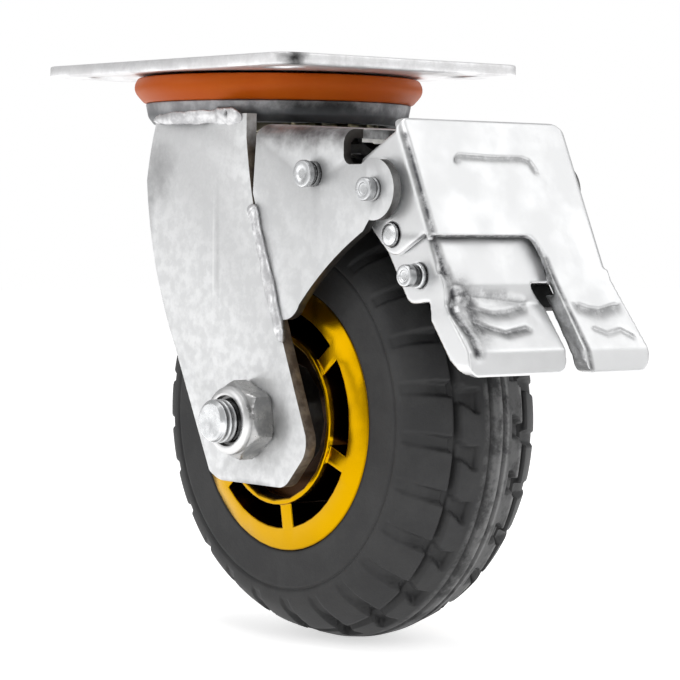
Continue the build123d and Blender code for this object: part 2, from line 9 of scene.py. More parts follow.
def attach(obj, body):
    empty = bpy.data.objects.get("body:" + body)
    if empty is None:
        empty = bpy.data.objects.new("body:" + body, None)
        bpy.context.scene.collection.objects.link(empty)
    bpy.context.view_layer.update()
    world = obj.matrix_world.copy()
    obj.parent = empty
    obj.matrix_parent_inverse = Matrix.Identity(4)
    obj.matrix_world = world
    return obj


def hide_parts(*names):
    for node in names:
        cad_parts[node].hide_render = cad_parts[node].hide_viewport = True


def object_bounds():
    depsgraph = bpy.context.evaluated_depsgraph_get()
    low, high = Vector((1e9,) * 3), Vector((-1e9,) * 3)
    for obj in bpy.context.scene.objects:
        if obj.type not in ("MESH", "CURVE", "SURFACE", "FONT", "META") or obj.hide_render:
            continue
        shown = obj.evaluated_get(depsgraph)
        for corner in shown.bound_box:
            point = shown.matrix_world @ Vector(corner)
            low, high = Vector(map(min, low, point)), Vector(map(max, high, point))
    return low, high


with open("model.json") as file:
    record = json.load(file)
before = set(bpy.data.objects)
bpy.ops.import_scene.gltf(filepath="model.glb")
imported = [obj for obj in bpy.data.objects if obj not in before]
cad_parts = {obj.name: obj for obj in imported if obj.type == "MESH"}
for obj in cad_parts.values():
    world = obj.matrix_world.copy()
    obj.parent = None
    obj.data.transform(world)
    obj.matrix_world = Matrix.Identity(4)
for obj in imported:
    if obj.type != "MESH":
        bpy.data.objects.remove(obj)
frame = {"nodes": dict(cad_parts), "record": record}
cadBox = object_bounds()
nodes = frame["nodes"]
print("frame loaded:", len(nodes), "nodes")

mm = 0.001  # of a metre
axle = (31.7, -99.0)  # x and z of the wheel's axis, in millimetres
legFace = 33.9  # from the middle to the outer face of a fork leg
pedalTilt = np.radians(23.9)  # how far the pedals lean back
grainDepth = 0.0002  # depth of a full bump, in metres
sharpAngle = np.radians(24)  # faces that meet at more than this have an edge between them


def newGroup(name, inputs, outputs):
    # an empty shader group with named float or colour sockets
    group = bpy.data.node_groups.new(name, "ShaderNodeTree")
    for socketName, kind, value in inputs:
        socket = group.interface.new_socket(socketName, in_out="INPUT", socket_type=kind)
        socket.default_value = value
    for socketName, kind in outputs:
        group.interface.new_socket(socketName, in_out="OUTPUT", socket_type=kind)
    return group, group.nodes.new("NodeGroupInput"), group.nodes.new("NodeGroupOutput")


def feed(tree, socket, value):
    # a number or a colour is written on the socket, and an output is linked to it
    if isinstance(value, (int, float)):
        socket.default_value = value
    elif isinstance(value, tuple):
        socket.default_value = (*value, 1.0)
    else:
        tree.links.new(value, socket)


def addNoise(tree, vector, scale, detail, roughness=0.5, stretch=None):
    # noise on object coordinates, optionally stretched along one axis
    if stretch:
        mapping = tree.nodes.new("ShaderNodeMapping")
        mapping.inputs["Scale"].default_value = stretch
        tree.links.new(vector, mapping.inputs["Vector"])
        vector = mapping.outputs["Vector"]
    noise = tree.nodes.new("ShaderNodeTexNoise")
    given = {"Vector": vector, "Scale": scale, "Detail": detail, "Roughness": roughness}
    for socketName, value in given.items():
        feed(tree, noise.inputs[socketName], value)
    return noise.outputs["Fac"]


def addMath(tree, kind, a, b=0.0, clamp=False):
    node = tree.nodes.new("ShaderNodeMath")
    node.operation = kind
    node.use_clamp = clamp
    for socket, value in zip(node.inputs, (a, b)):
        feed(tree, socket, value)
    return node.outputs[0]


def addVectorMath(tree, kind, *vectors):
    node = tree.nodes.new("ShaderNodeVectorMath")
    node.operation = kind
    for socket, value in zip(node.inputs, vectors):
        tree.links.new(value, socket)
    return node.outputs["Value" if kind == "LENGTH" else "Vector"]


def addRange(tree, value, low, high, toLow=0.0, toHigh=1.0):
    node = tree.nodes.new("ShaderNodeMapRange")
    node.interpolation_type = "SMOOTHSTEP"
    given = {"Value": value, "From Min": low, "From Max": high, "To Min": toLow, "To Max": toHigh}
    for socketName, number in given.items():
        feed(tree, node.inputs[socketName], number)
    return node.outputs["Result"]


def addMix(tree, factor, first, second):
    node = tree.nodes.new("ShaderNodeMix")
    node.data_type = "RGBA"
    # sockets 0, 6 and 7 of the node are its factor and its two colours
    for socket, value in ((node.inputs[0], factor), (node.inputs[6], first), (node.inputs[7], second)):
        feed(tree, socket, value)
    return node.outputs[2]


def objectPlace(tree):
    return tree.nodes.new("ShaderNodeTexCoord").outputs["Object"]


def makeZincSkin():
    # plated sheet: cloudy patches, fine grain and drawn scratches
    group, given, result = newGroup(
        "zincSkin",
        [("Light", "NodeSocketColor", (0.8, 0.8, 0.8, 1)), ("Dark", "NodeSocketColor", (0.6, 0.6, 0.6, 1)),
         ("Patch", "NodeSocketFloat", 60.0), ("Smooth", "NodeSocketFloat", 0.3),
         ("Rough", "NodeSocketFloat", 0.5)],
        [("Color", "NodeSocketColor"), ("Roughness", "NodeSocketFloat"), ("Height", "NodeSocketFloat")])
    place = objectPlace(group)
    patch = addRange(group, addNoise(group, place, given.outputs["Patch"], 5, 0.62), 0.38, 0.64)
    grain = addNoise(group, place, 900, 3, 0.6)
    scratch = addNoise(group, place, 260, 2, 0.5, (1.0, 1.0, 0.12))
    mask = addMath(group, "MULTIPLY", patch, addRange(group, grain, 0.3, 0.7, 0.75, 1.0))
    streak = addRange(group, scratch, 0.58, 0.72)
    mask = addMath(group, "SUBTRACT", mask, addMath(group, "MULTIPLY", streak, 0.18), True)
    color = addMix(group, mask, given.outputs["Dark"], given.outputs["Light"])
    group.links.new(color, result.inputs["Color"])
    # rough in the dark, smooth in the light
    span = addMath(group, "SUBTRACT", given.outputs["Rough"], given.outputs["Smooth"])
    rough = addMath(group, "SUBTRACT", given.outputs["Rough"], addMath(group, "MULTIPLY", span, mask))
    group.links.new(rough, result.inputs["Roughness"])
    height = addMath(group, "ADD", addMath(group, "MULTIPLY", grain, 0.5),
                     addMath(group, "MULTIPLY", patch, 0.5))
    group.links.new(height, result.inputs["Height"])
    return group


def makeSoftSpot():
    # 1 in the middle of a soft, uneven ellipsoid in object space, 0 outside it
    group, given, result = newGroup(
        "softSpot", [("Centre", "NodeSocketVector", (0, 0, 0)), ("Radii", "NodeSocketVector", (1, 1, 1)),
                     ("Amount", "NodeSocketFloat", 1.0)], [("Mask", "NodeSocketFloat")])
    place = objectPlace(group)
    offset = addVectorMath(group, "SUBTRACT", place, given.outputs["Centre"])
    away = addVectorMath(group, "LENGTH", addVectorMath(group, "DIVIDE", offset, given.outputs["Radii"]))
    uneven = addMath(group, "MULTIPLY", addNoise(group, place, 160, 4, 0.65), 0.9)
    edge = addMath(group, "ADD", away, uneven)
    mask = addMath(group, "MULTIPLY", addRange(group, edge, 1.35, 0.45), given.outputs["Amount"])
    group.links.new(mask, result.inputs["Mask"])
    return group


def makeDustFilm():
    # pale dust that lies in broad soft patches
    group, given, result = newGroup(
        "dustFilm",
        [("Base", "NodeSocketColor", (0.05, 0.05, 0.05, 1)), ("Dust", "NodeSocketColor", (0.2, 0.2, 0.2, 1)),
         ("Amount", "NodeSocketFloat", 0.3), ("Scale", "NodeSocketFloat", 40.0)],
        [("Color", "NodeSocketColor"), ("Height", "NodeSocketFloat")])
    place = objectPlace(group)
    cloud = addNoise(group, place, given.outputs["Scale"], 6, 0.7)
    grain = addNoise(group, place, 1400, 2, 0.6)
    mask = addMath(group, "MULTIPLY", addRange(group, cloud, 0.35, 0.7), given.outputs["Amount"])
    color = addMix(group, mask, given.outputs["Base"], given.outputs["Dust"])
    group.links.new(color, result.inputs["Color"])
    group.links.new(grain, result.inputs["Height"])
    return group


zincSkin = makeZincSkin()
dustFilm = makeDustFilm()
softSpot = makeSoftSpot()


def newMaterial(name):
    material = bpy.data.materials.new(name)
    material.use_nodes = True
    tree = material.node_tree
    return material, tree, tree.nodes["Principled BSDF"]


def addGroup(tree, group, **given):
    # a group placed in a material, its inputs named here in small letters
    node = tree.nodes.new("ShaderNodeGroup")
    node.node_tree = group
    for name, value in given.items():
        socket = node.inputs[name.capitalize()]
        socket.default_value = (*value, 1) if socket.type == "RGBA" else value
    return node


def addMask(tree, name):
    # a value painted on the points of a mesh
    mask = tree.nodes.new("ShaderNodeAttribute")
    mask.attribute_name = name
    return mask.outputs["Fac"]


def splitPlace(tree, place):
    split = tree.nodes.new("ShaderNodeSeparateXYZ")
    tree.links.new(place, split.inputs[0])
    return split.outputs


def addBump(tree, shader, height, strength):
    bump = tree.nodes.new("ShaderNodeBump")
    bump.inputs["Strength"].default_value = strength
    bump.inputs["Distance"].default_value = grainDepth
    tree.links.new(height, bump.inputs["Height"])
    tree.links.new(bump.outputs["Normal"], shader.inputs["Normal"])


def zincMaterial(name, look):
    # plated skin, then painted shade and grime where the mesh is marked (lighter on the nut), then soft spots
    # of painted shade, shadow, highlight and reflection, and last a painted shade towards a lower edge
    material, tree, shader = newMaterial(name)
    given = {key: look[key] for key in ("light", "dark", "patch", "smooth", "rough")}
    skin = addGroup(tree, zincSkin, **given)
    place = objectPlace(tree)
    broken = addRange(tree, addNoise(tree, place, 300, 6, 0.72), 0.34, 0.6, look.get("broken", 0.5), 1.0)
    shadingMask = addMath(tree, "MULTIPLY", addMask(tree, "shadingAndGrime"), broken)
    color = addMix(tree, shadingMask, skin.outputs["Color"], look.get("shadingAndGrime", (0.12, 0.12, 0.12)))
    for centre, radii, amount, shade in look.get("spots", ()):
        # each soft spot lays painted shade, shadow, highlight or reflection over the zinc
        shadingAndStain = addGroup(tree, softSpot, centre=[v * mm for v in centre], radii=[v * mm for v in radii],
                         amount=amount)
        color = addMix(tree, shadingAndStain.outputs["Mask"], color, shade)
    if "lower" in look:
        high, low, amount, shade = look["lower"]
        height = splitPlace(tree, place)["Z"]
        mask = addMath(tree, "MULTIPLY", addRange(tree, height, high * mm, low * mm), amount)
        color = addMix(tree, mask, color, shade)
    tree.links.new(color, shader.inputs["Base Color"])
    tree.links.new(skin.outputs["Roughness"], shader.inputs["Roughness"])
    shader.inputs["Metallic"].default_value = look["metal"]
    addBump(tree, shader, skin.outputs["Height"], look["bump"])
    return material


def addRimShade(tree, look, color):
    # the gold lies on the open faces near the two sides, and deeper in the casting it is painted dark brown
    # as painted shade;
    # the lip that meets the tyre gets a painted shade
    split = splitPlace(tree, objectPlace(tree))
    away = addMath(tree, "ABSOLUTE", addMath(tree, "DIVIDE", split["Y"], mm))
    squares = []
    for name, middle in zip("XZ", axle):
        along = addMath(tree, "SUBTRACT", addMath(tree, "DIVIDE", split[name], mm), middle)
        squares.append(addMath(tree, "POWER", addMath(tree, "ABSOLUTE", along), 2.0))
    radius = addMath(tree, "SQRT", addMath(tree, "ADD", *squares))
    inner, outer, low, high = look["shadeEdge"]
    unshaded = addMath(tree, "MAXIMUM", addRange(tree, radius, inner, outer), addRange(tree, away, low, high))
    unshaded = addMath(tree, "MINIMUM", unshaded, addRange(tree, away, *look["depth"]))
    color = addMix(tree, unshaded, look["insideShade"], color)
    inner, outer, amount, shade = look["lip"]
    return addMix(tree, addMath(tree, "MULTIPLY", addRange(tree, radius, inner, outer), amount), color, shade)


def filmMaterial(name, look):
    # coloured film with dust on it, paler where the mesh is marked with wear and painted sheen
    material, tree, shader = newMaterial(name)
    film = addGroup(tree, dustFilm, **{key: look[key] for key in ("base", "dust", "amount", "scale")})
    color = film.outputs["Color"]
    if "insideShade" in look:
        color = addRimShade(tree, look, color)
    patchy = addRange(tree, addNoise(tree, objectPlace(tree), 120, 4, 0.7), 0.35, 0.6)
    paleWearAndSheen = addMath(tree, "MULTIPLY", addMask(tree, "paleWearAndSheen"), patchy)
    color = addMix(tree, paleWearAndSheen, color, (0.26, 0.26, 0.26))
    tree.links.new(color, shader.inputs["Base Color"])
    shader.inputs["Roughness"].default_value = look["rough"]
    shader.inputs["Metallic"].default_value = look["metal"]
    shader.inputs["Specular IOR Level"].default_value = look.get("shine", 0.5)
    addBump(tree, shader, film.outputs["Height"], look["bump"])
    return material


# spots: centre and radii in millimetres, strength, colour
# lower: height where the shade begins, height where it is full, strength, colour
# shadingAndGrime: the colour of the painted shade and grime where the mesh is marked, lighter on the nut, and
# broken how even it is
zincLooks = {
    # painted shade on the plate's front side, a near-black spot near its front right corner, and a painted
    # reflection of the orange seal on its underside
    "plateZinc": dict(light=(0.93, 0.93, 0.94), dark=(0.76, 0.755, 0.76), patch=120, smooth=0.34, rough=0.52,
                      metal=0.75, bump=0.14,
                      spots=[((-6, -47, -1), (85, 6, 8), 0.8, (0.50, 0.50, 0.51)),
                             ((56.2, -39.8, -1.4), (8, 6.5, 6), 1.0, (0.015, 0.015, 0.015)),
                             ((6, -6, -4.2), (60, 60, 1.6), 0.9, (0.09, 0.03, 0.025))]),
    # painted shade near the top of the rear edge where the sheet turns, painted shadow beside and under the
    # axle nut, a painted highlight and shade along a crease line, and darker along the bottom edge
    "forkZinc": dict(light=(0.77, 0.775, 0.78), dark=(0.69, 0.695, 0.70), patch=300, smooth=0.42, rough=0.58,
                     metal=0.85, bump=0.14,
                     spots=[((-12, -34, -31), (13, 30, 13), 0.5, (0.18, 0.18, 0.185)),
                            ((-17, -34, -40), (5, 30, 16), 0.4, (0.18, 0.18, 0.185)),
                            ((44, -34, -99), (9, 6, 9), 0.5, (0.16, 0.16, 0.16)),
                            ((36, -34, -110), (16, 6, 5), 0.25, (0.16, 0.16, 0.16)),
                            ((13.7, -34, -54), (0.7, 30, 26), 0.6, (0.90, 0.90, 0.90)),
                            ((15.6, -34, -54), (1.6, 30, 26), 0.22, (0.30, 0.30, 0.30)),
                            ((31, -34, -117), (20, 6, 2.0), 0.5, (0.20, 0.20, 0.20))]),
    # painted shade along the rounded top of both cheeks, where a dark reflection falls, and painted shade on
    # the tongue by the slot
    "bracketZinc": dict(light=(0.69, 0.695, 0.70), dark=(0.63, 0.635, 0.64), patch=220, smooth=0.40,
                        rough=0.56, metal=0.85, bump=0.10,
                        spots=[((70, -33.5, -19.6), (75, 9, 9), 1.0, (0.07, 0.06, 0.062)),
                               ((70, 33.5, -19.6), (75, 9, 9), 1.0, (0.07, 0.06, 0.062)),
                               ((82, -27, -21), (22, 5, 12), 1.0, (0.03, 0.03, 0.03))]),
    # the crown is painted darker than the other zinc as the shade it lies in, with more painted shade towards
    # its lower edge and a painted shadow in its middle under the plate
    "crownZincShaded": dict(light=(0.46, 0.46, 0.47), dark=(0.27, 0.27, 0.28), patch=150, smooth=0.40, rough=0.55,
                      metal=0.8, bump=0.2, lower=(-12.0, -15.6, 0.8, (0.10, 0.105, 0.11)),
                      spots=[((35, -11, -15.5), (24, 36, 11), 1.0, (0.015, 0.015, 0.015)),
                             ((35, -18, -15.0), (20, 30, 7), 0.9, (0.008, 0.008, 0.008))]),
    "weldZinc": dict(light=(0.92, 0.92, 0.93), dark=(0.56, 0.56, 0.57), patch=300, smooth=0.30, rough=0.56,
                     metal=0.8, bump=0.25, shadingAndGrime=(0.02, 0.02, 0.02)),
    "pedalZinc": dict(light=(0.82, 0.825, 0.83), dark=(0.785, 0.79, 0.795), patch=60, smooth=0.30, rough=0.44,
                      metal=0.95, bump=0.06, shadingAndGrime=(0.04, 0.04, 0.045)),
    "fastenerZinc": dict(light=(0.80, 0.81, 0.82), dark=(0.56, 0.57, 0.58), patch=200, smooth=0.22,
                         rough=0.38, metal=1.0, bump=0.10, shadingAndGrime=(0.02, 0.02, 0.02), broken=0.9),
    "nutZinc": dict(light=(0.37, 0.365, 0.355), dark=(0.24, 0.24, 0.24), patch=200, smooth=0.24, rough=0.42,
                    metal=1.0, bump=0.14, shadingAndGrime=(0.74, 0.74, 0.74), broken=1.0),
    "lockZinc": dict(light=(0.74, 0.66, 0.42), dark=(0.50, 0.46, 0.34), patch=120, smooth=0.28, rough=0.42,
                     metal=1.0, bump=0.08),
    # the legs' sheared sides: dark brown, partly their own colour and partly painted shade, with a painted
    # lit patch near the crown
    "cutEdge": dict(light=(0.22, 0.18, 0.14), dark=(0.08, 0.06, 0.045), patch=200, smooth=0.4, rough=0.6,
                    metal=0.3, bump=0.3, spots=[((30, 0, -17), (16, 90, 14), 0.95, (0.62, 0.62, 0.62))]),
    # the bracket's sheared sides are painted near black as shade, with a painted highlight on the ear's edge
    # and a painted reflection of the gold rim near the bottom
    "bracketEdge": dict(light=(0.035, 0.030, 0.026), dark=(0.012, 0.011, 0.010), patch=200, smooth=0.4,
                        rough=0.55, metal=0.3, bump=0.2,
                        spots=[((90, 0, -36), (7, 90, 14), 0.85, (0.34, 0.34, 0.34)),
                               ((48, 0, -76), (12, 90, 10), 0.8, (0.22, 0.11, 0.05))]),
    # near black: the hidden arm is painted as the shade it lies in
    "armInShade": dict(light=(0.03, 0.03, 0.03), dark=(0.012, 0.012, 0.012), patch=120, smooth=0.5, rough=0.7,
                    metal=0.2, bump=0.08),
    # near black: the bearings are painted as the shade in the hub's recess
    "bearingSteelShaded": dict(light=(0.05, 0.045, 0.04), dark=(0.025, 0.02, 0.018), patch=200, smooth=0.3,
                         rough=0.45, metal=0.8, bump=0.04),
}
# shadeEdge: radii and distances from the middle plane, in millimetres, between which the painted shade inside
# the rim begins; insideShade: its colour
# lip: radii between which the painted shade comes in, strength, colour
filmLooks = {
    "sealPlastic": dict(base=(0.54, 0.088, 0.0), dust=(0.60, 0.135, 0.008), amount=0.35, scale=60, rough=0.45,
                        metal=0.0, bump=0.04, shine=0.18),
    "rimGold": dict(base=(0.58, 0.315, 0.0), dust=(0.62, 0.345, 0.001), amount=0.4, scale=50, rough=0.27,
                    metal=1.0, bump=0.05, insideShade=(0.045, 0.016, 0.002), depth=(21.2, 23.2),
                    shadeEdge=(30.0, 31.2, 24.3, 24.9), lip=(36.0, 36.9, 0.85, (0.10, 0.04, 0.0))),
    "tyreRubber": dict(base=(0.023, 0.023, 0.024), dust=(0.050, 0.050, 0.050), amount=0.5, scale=70,
                       rough=0.58, metal=0.0, bump=0.3, shine=0.4),
    "shoeRubber": dict(base=(0.02, 0.02, 0.02), dust=(0.06, 0.06, 0.06), amount=0.3, scale=120, rough=0.7,
                       metal=0.0, bump=0.3, shine=0.4),
}
materials = {name: zincMaterial(name, look) for name, look in zincLooks.items()}
materials.update({name: filmMaterial(name, look) for name, look in filmLooks.items()})

slotMaterials = {
    "plate_steel": "plateZinc", "fork_steel": "forkZinc", "weld_steel": "weldZinc",
    "pedal_steel": "pedalZinc", "fastener_steel": "fastenerZinc", "lock_steel": "lockZinc",
    "bearing_steel": "bearingSteelShaded", "seal_plastic": "sealPlastic", "rim_paint": "rimGold",
    "tyre_rubber": "tyreRubber", "shoe_rubber": "shoeRubber",
}
slotOf = {part["node"]: part["material_slot"] for part in frame["record"]["subparts"]}
bodyOf = {node: body for body, members in frame["record"]["behaviour"]["bodies"].items() for node in members}
for nodeName, nodeObject in nodes.items():
    nodeObject.data.materials.clear()
    nodeObject.data.materials.append(materials[slotMaterials[slotOf[nodeName]]])
print("materials on", len(nodes), "nodes")


def gridFaces(rows, columns, closedRows, closedColumns):
    # quads between neighbouring grid points, counted row by row
    rowIndex = np.arange(rows if closedRows else rows - 1)
    columnIndex = np.arange(columns if closedColumns else columns - 1)
    i, j = np.meshgrid(rowIndex, columnIndex, indexing="ij")
    k, m = (i + 1) % rows, (j + 1) % columns
    quads = np.stack([i * columns + j, i * columns + m, k * columns + m, k * columns + j], axis=-1)
    return quads.reshape(-1, 4)


def addObject(name, data):
    thing = bpy.data.objects.new(name, data)
    bpy.context.scene.collection.objects.link(thing)
    return thing


def addPiece(name, spots, quads, material, body, replaced):
    # spots in millimetres, as a grid or a list of points
    mesh = bpy.data.meshes.new(name)
    mesh.from_pydata((spots.reshape(-1, 3) * mm).tolist(), [], quads.tolist())
    mesh.shade_smooth()
    mesh.materials.append(materials[material])
    piece = addObject(name, mesh)
    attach(piece, body)
    if replaced:
        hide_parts(*replaced)
    return piece


def paint(piece, name, values):
    # one value a point, read by the material as a mask
    piece.data.attributes.new(name, "FLOAT", "POINT").data.foreach_set("value", values.ravel())


def softStep(value, low, high):
    t = np.clip((value - low) / (high - low), 0, 1)
    return t * t * (3 - 2 * t)


def band(value, low, high, soft):
    # 1 between low and high, with soft shoulders outside
    return softStep(value, low - soft, low) * (1 - softStep(value, high, high + soft))


def fullTurn(columns):
    return np.linspace(0, 2 * np.pi, columns, endpoint=False)


def aroundY(centre, radius, along, turn):
    # points at a radius from an axis along Y, which goes through x and z of the centre
    x, z = centre
    return np.stack([x + radius * np.cos(turn), along + 0 * turn, z + radius * np.sin(turn)], axis=-1)


# crown: (y, radius) from the middle out to the bead, its first points above the wall
# grooves: (from y, to y, depth, softness), the narrow one by the rib and the one by the lugs
# lugGap: angles in degrees, slant in degrees a millimetre, thins and ends as (from, to, by how much)
# blockGap: angles in degrees of its lower side and of its upper side at its outer and inner end
# sideGroove: radius, depth, width; flip: how far the far half is turned against the near one, in degrees
# wearAndSheen: (from y, to y, softness, strength) where the rubber is painted paler, as wear and painted
# sheen, less on the near side, and the rest, painted sheen, on the far side alone
tyreLook = dict(
    lugs=25, columnsPerLug=30,
    crown=[(0, 62.5), (3, 62.23), (6, 61.44), (9, 60.65), (11, 59.99), (13.2, 59.16), (15, 58.25),
           (17, 56.96), (19, 55.45), (21, 53.76), (22.5, 52.0), (23.1, 50.6), (23.42, 49.2), (23.5, 47.9),
           (23.3, 44.0), (23.3, 36.9)],
    crownPoints=12, crownEnd=47.95,
    grooves=[(1.75, 2.95, 2.3, 0.12), (11.15, 12.75, 3.2, 0.25)],
    lugGap=dict(middle=-4.0, width=3.5, depth=2.5, slant=0.16, slantFrom=12.5, starts=(11.6, 12.3),
                thins=(13.5, 21, 0.72), ends=(51.5, 49.5, 0.28)),
    blockGap=dict(bottom=-4.5, topOut=-7.7, topIn=-10.2, depth=2.3, corner=1.5, across=(6.0, 11.4, 0.35)),
    sideGroove=(47.4, 0.45, 0.3), flip=-7.0,
    wearAndSheen=[(0, 1.75, 0.1, 0.8), (3.0, 3.9, 0.5, 0.7)], nearWearAndSheen=0.6,
    farSheen=[(3.9, 11.0, 0.2, 0.3), (10.2, 11.1, 0.4, 0.5)])


def periodicOff(angle, middle, pitch):
    # distance in degrees from the nearest of the marks that stand a pitch apart
    return np.abs((angle - middle + pitch / 2) % pitch - pitch / 2)


def tyrePoints(look):
    # crown profile turned about the axle, pressed in where the grooves and the gaps between lugs lie
    # rows of the mesh by y across the crown and by radius down the wall, close together at the grooves
    across = np.array([0, 0.9, 1.6, 1.78, 1.95, 2.35, 2.75, 2.92, 3.1, 3.8, 4.8, 5.6, 5.9, 6.3, 7.0, 7.8, 8.6,
                       9.4, 10.2, 10.8, 11.1, 11.25, 11.5, 12.0, 12.45, 12.7, 12.9, 13.3, 14, 15, 16, 17, 18,
                       19, 20, 21, 21.8, 22.5])
    wall = np.array([51.3, 50.6, 50.0, 49.2, 48.5, 47.9, 47.6, 47.4, 47.2, 46.9, 46.3, 44.5, 42.0, 39.5, 37.6,
                     36.9])
    crown = np.array(look["crown"])
    crownY, crownR = crown[:, 0], crown[:, 1]
    wallY = np.interp(wall, crownR[::-1], crownY[::-1])
    y = np.concatenate([across, wallY])
    last = look["crownPoints"]
    r = np.concatenate([np.interp(across, crownY[:last], crownR[:last]), wall])
    pitch = 360 / look["lugs"]
    angle = np.linspace(0, 360, look["lugs"] * look["columnsPerLug"], endpoint=False)
    halves, pale = [], []
    for side in (-1, 1):
        turned = angle if side < 0 else look["flip"] - angle
        a, yy = np.meshgrid(turned, y, indexing="xy")
        rr = np.repeat(r[:, None], len(angle), axis=1)
        onCrown = rr > look["crownEnd"]
        dip = np.zeros_like(rr)
        for low, high, depth, soft in look["grooves"]:
            dip = np.maximum(dip, depth * band(yy, low, high, soft))
        # slanting gaps between lugs, shallower down the shoulder and gone at the wall
        lug = look["lugGap"]
        off = periodicOff(a, lug["middle"] + lug["slant"] * (yy - lug["slantFrom"]), pitch)
        low, high, share = lug["thins"]
        fade = 1 - share * softStep(yy, low, high)
        high, low, share = lug["ends"]
        fade = fade - share * softStep(high - rr, 0, high - low)
        half = lug["width"] / 2
        gap = (1 - softStep(off, half - 0.25, half + 0.4)) * softStep(yy, *lug["starts"])
        dip = np.maximum(dip, lug["depth"] * gap * fade)
        # gaps between blocks, wider towards the rib, with their outer lower corner cut off
        block = look["blockGap"]
        top = block["topOut"] + (block["topIn"] - block["topOut"]) * softStep(11.2 - yy, 0.5, 5.0)
        low = block["bottom"] + block["corner"] * softStep(yy, 9.2, 11.0)
        off, half = periodicOff(a, (low + top) / 2, pitch), (low - top) / 2
        gap = (1 - softStep(off, half - 0.3, half + 0.35)) * band(yy, *block["across"])
        dip = np.maximum(dip, block["depth"] * gap)
        rim, depth, width = look["sideGroove"]
        notch = depth * np.exp(-((rr - rim) / width) ** 2)
        # the dip goes inwards along the crown's own slope
        slope = softStep(yy, 12, 23)
        out = (yy - dip * 0.55 * slope * onCrown - notch * (1 - onCrown)) * side
        reach = rr - dip * (1 - 0.25 * slope)
        turn = np.radians(a if side < 0 else look["flip"] - a)
        halves.append(aroundY(axle, reach, out, turn))
        # the rubber is painted paler on the rib and beside its groove, as wear and painted sheen, and on the
        # far side's blocks as painted sheen
        wearAndSheen = [(*span, share * (1 if side > 0 else look["nearWearAndSheen"])) for *span, share in look["wearAndSheen"]]
        wearAndSheen += look["farSheen"] if side > 0 else []
        edges = sum(share * band(yy, low, high, soft) for low, high, soft, share in wearAndSheen)
        pale.append(edges * (dip < 0.5) * onCrown)
    # both halves hold the middle line, and it is kept once
    return (np.concatenate([part[0][::-1], part[1][1:]], axis=0) for part in (halves, pale))


spots, pale = tyrePoints(tyreLook)
rows, columns = spots.shape[:2]
piece = addPiece("tyreRubber", spots, gridFaces(rows, columns, True, True), "tyreRubber", "wheel", ["tyre"])
paint(piece, "paleWearAndSheen", pale)
print("tyre:", rows * columns * 2, "triangles")


def mergedMesh(nodeName):
    # a copy of a CAD node's mesh, its split points joined and its flat faces made whole
    form = bmesh.new()
    form.from_mesh(nodes[nodeName].data)
    bmesh.ops.remove_doubles(form, verts=form.verts, dist=1e-6)
    bmesh.ops.dissolve_limit(form, angle_limit=np.radians(0.4), verts=form.verts, edges=form.edges)
    return form


def roundEdges(form, corners):
    # the upright edges of a sheet's outline at (x, z), each rounded with its own radius
    for x, z, cut in corners:
        near = [e for e in form.edges if abs((e.verts[0].co - e.verts[1].co).normalized().y) > 0.9
                and np.hypot(e.verts[0].co.x - x * mm, e.verts[0].co.z - z * mm) < 0.6 * mm]
        bmesh.ops.bevel(form, geom=near, offset=cut * mm, segments=5, profile=0.5, affect="EDGES")


def roundEar(form, x, z, radius, tip):
    # more flats round an ear, and the tip left beside it drawn back on to the circle
    for point in form.verts:
        if abs(point.co.x - tip * mm) < 0.3 * mm and -50 * mm < point.co.z < (z - radius * 0.9) * mm:
            point.co.z = (z - radius * 0.99) * mm
    bmesh.ops.remove_doubles(form, verts=form.verts, dist=0.12 * mm)
    onEar = {p for p in form.verts
             if abs(np.hypot(p.co.x - x * mm, p.co.z - z * mm) - radius * mm) < 0.1 * mm}
    arcs = [e for e in form.edges if onEar.issuperset(e.verts)
            and abs(e.verts[0].co.y - e.verts[1].co.y) < 1e-6 and e.calc_length() > 1.5 * mm]
    bmesh.ops.subdivide_edges(form, edges=arcs, cuts=3, use_grid_fill=True)
    for point in form.verts:
        away = np.hypot(point.co.x - x * mm, point.co.z - z * mm)
        if abs(away - radius * mm) < 0.16 * mm:
            point.co.x = x * mm + (point.co.x - x * mm) * radius * mm / away
            point.co.z = z * mm + (point.co.z - z * mm) * radius * mm / away


def softCopy(nodeName, edge, steps, finish=None, cutEdge=None, webLow=0, corners=(), ear=None, widen=None):
    # the CAD form with its sharp edges broken; the sheared sides of a sheet can have their own finish
    form = mergedMesh(nodeName)
    mesh = bpy.data.meshes.new(nodeName + "Soft")
    slot = slotOf[nodeName]
    mesh.materials.append(materials[finish or slotMaterials[slot]])
    roundEdges(form, corners)
    if ear:
        roundEar(form, *ear)
    if widen:
        old, new = widen
        for point in form.verts:
            if abs(abs(point.co.y) - old * mm) < 0.05 * mm:
                point.co.y = np.sign(point.co.y) * new * mm
    if cutEdge:
        mesh.materials.append(materials[cutEdge])
        for face in form.faces:
            # the web across the top is sheet face too, not a sheared side
            web = abs(face.normal.z) > 0.5 and webLow * mm < face.calc_center_median().z
            face.material_index = int(abs(face.normal.y) < 0.5 and not web)
    form.to_mesh(mesh)
    form.free()
    mesh.shade_smooth()
    piece = addObject(mesh.name, mesh)
    bevel = piece.modifiers.new("edge", "BEVEL")
    bevel.width = edge * mm
    bevel.segments = steps
    bevel.limit_method = "ANGLE"
    bevel.angle_limit = sharpAngle
    bevel.harden_normals = True
    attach(piece, bodyOf[nodeName])
    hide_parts(nodeName)


